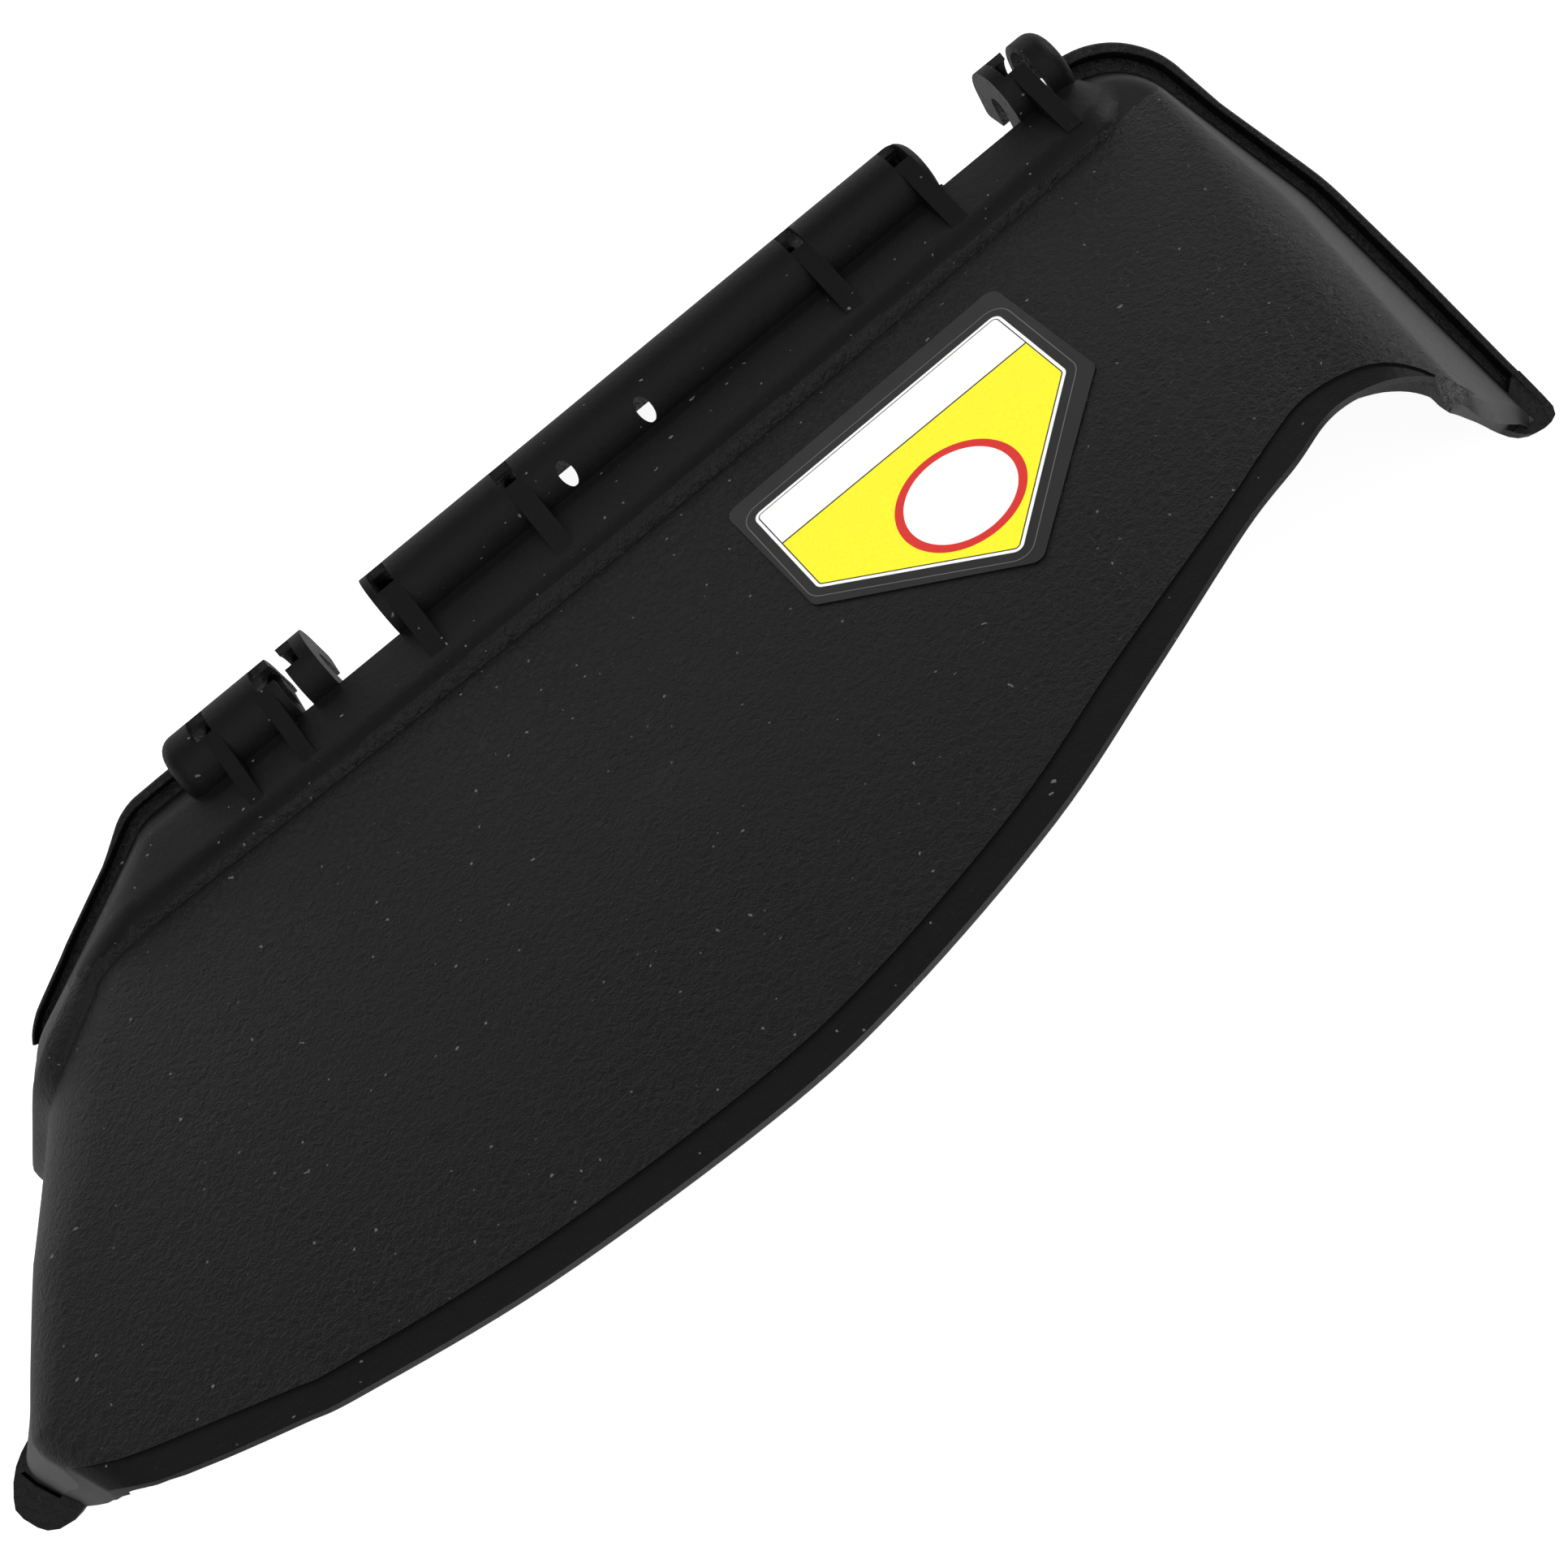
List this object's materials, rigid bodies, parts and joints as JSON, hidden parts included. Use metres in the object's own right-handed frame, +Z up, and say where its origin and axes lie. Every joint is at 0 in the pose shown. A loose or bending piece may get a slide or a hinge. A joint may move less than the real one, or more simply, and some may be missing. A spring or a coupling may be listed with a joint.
{
  "type": "discharge chute deflector",
  "caption": "Moulded black plastic discharge deflector: a tilted hood with drafted side walls, an out-turned foot flange, a split hinge barrel along its low edge and a plain sticker.",
  "frame": {"origin": "on the plane that the foot flange rests on, under the middle of the bounding box", "axes": "+X along the hinge barrel, +Y towards the hinge and away from the mouth, +Z up from the flange to the panel"},
  "size_m": [0.636, 0.2108, 0.1898],
  "materials": {
    "black_plastic": "fine moulded grain, satin black",
    "label_film": "printed film, satin"
  },
  "bodies": {
    "root": {"chute": "black_plastic", "label": "label_film"}
  },
  "joints": []
}
